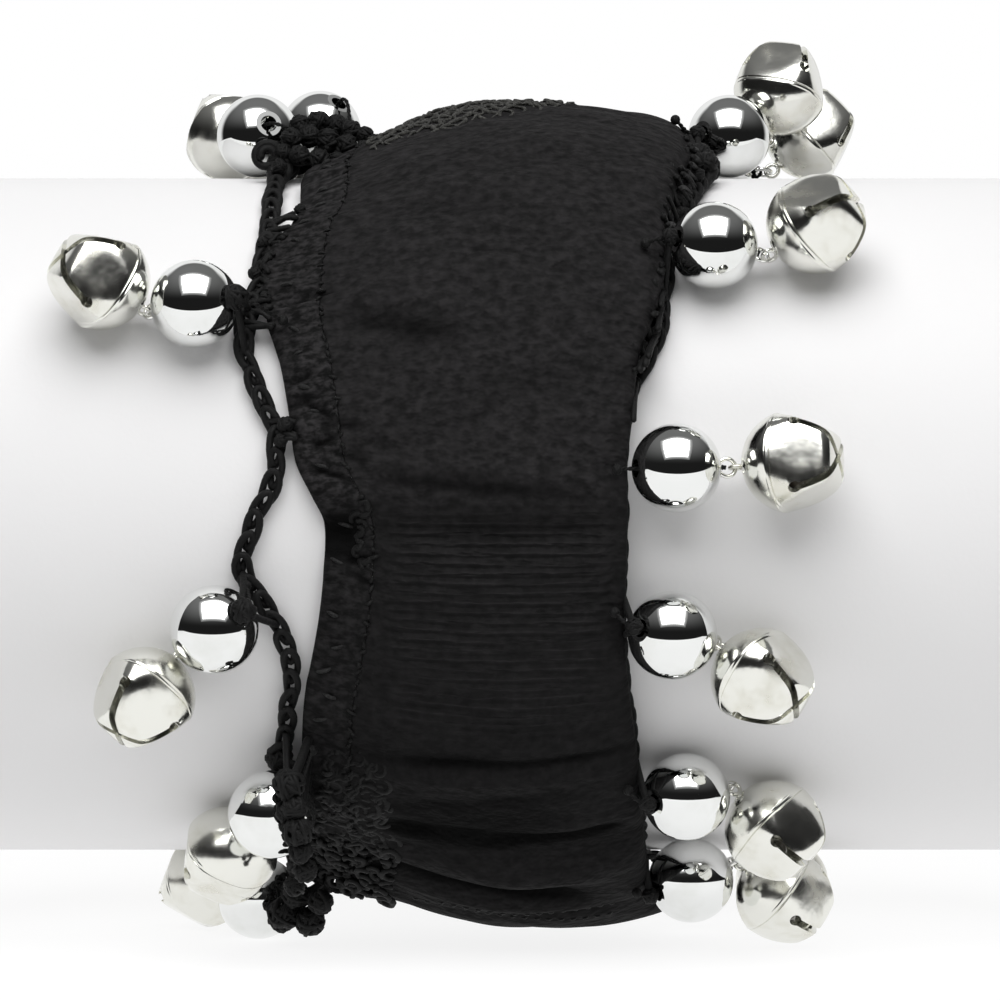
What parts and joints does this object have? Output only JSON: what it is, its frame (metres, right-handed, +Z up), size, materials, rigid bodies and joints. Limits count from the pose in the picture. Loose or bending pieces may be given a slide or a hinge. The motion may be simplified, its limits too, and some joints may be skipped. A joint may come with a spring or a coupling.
{
  "type": "stretch cuff bracelet on display tube",
  "caption": "Puffed black knit stretch cuff with corded edges, hung with mirror beads and jingle bells, worn by a plain white display tube.",
  "frame": {"origin": "middle of the box's underside, on the surface that the lowest bells rest on", "axes": "+X along the display tube, -Y towards the side shown in the picture, +Z up"},
  "size_m": [0.12, 0.083, 0.0879],
  "materials": {
    "tube_plastic": "smooth satin white",
    "knit_cloth": "matte black fine rib knit",
    "hem_cloth": "matte black knit with overlock stitches",
    "black_cord": "crocheted black cord with a slight sheen",
    "bead_metal": "mirror silver plate",
    "ring_metal": "polished silver plate",
    "bell_metal": "polished silver plate, slightly dented",
    "pellet_steel": "plain steel"
  },
  "bodies": {
    "root": {"display_tube": "tube_plastic", "cloth_band": "knit_cloth", "left_hem": "hem_cloth", "left_edging_cord": "black_cord", "right_edging_cord": "black_cord", "bead_threads": "black_cord", "jump_rings": "ring_metal", "bell_pellets": "pellet_steel", "left_bead_1": "bead_metal", "left_bead_2": "bead_metal", "left_bead_3": "bead_metal", "left_bead_4": "bead_metal", "left_bead_5": "bead_metal", "left_bead_6": "bead_metal", "left_bead_7": "bead_metal", "left_bead_8": "bead_metal", "left_bead_9": "bead_metal", "right_bead_1": "bead_metal", "right_bead_2": "bead_metal", "right_bead_3": "bead_metal", "right_bead_4": "bead_metal", "right_bead_5": "bead_metal", "right_bead_6": "bead_metal", "right_bead_7": "bead_metal", "right_bead_8": "bead_metal", "right_bead_9": "bead_metal", "right_bead_10": "bead_metal", "right_bead_11": "bead_metal", "left_bell_1": "bell_metal", "left_bell_2": "bell_metal", "left_bell_3": "bell_metal", "left_bell_4": "bell_metal", "left_bell_5": "bell_metal", "left_bell_6": "bell_metal", "left_bell_7": "bell_metal", "left_bell_8": "bell_metal", "left_bell_9": "bell_metal", "right_bell_1": "bell_metal", "right_bell_2": "bell_metal", "right_bell_3": "bell_metal", "right_bell_4": "bell_metal", "right_bell_5": "bell_metal", "right_bell_6": "bell_metal", "right_bell_7": "bell_metal", "right_bell_8": "bell_metal", "right_bell_9": "bell_metal", "right_bell_10": "bell_metal", "right_bell_11": "bell_metal"}
  },
  "joints": []
}
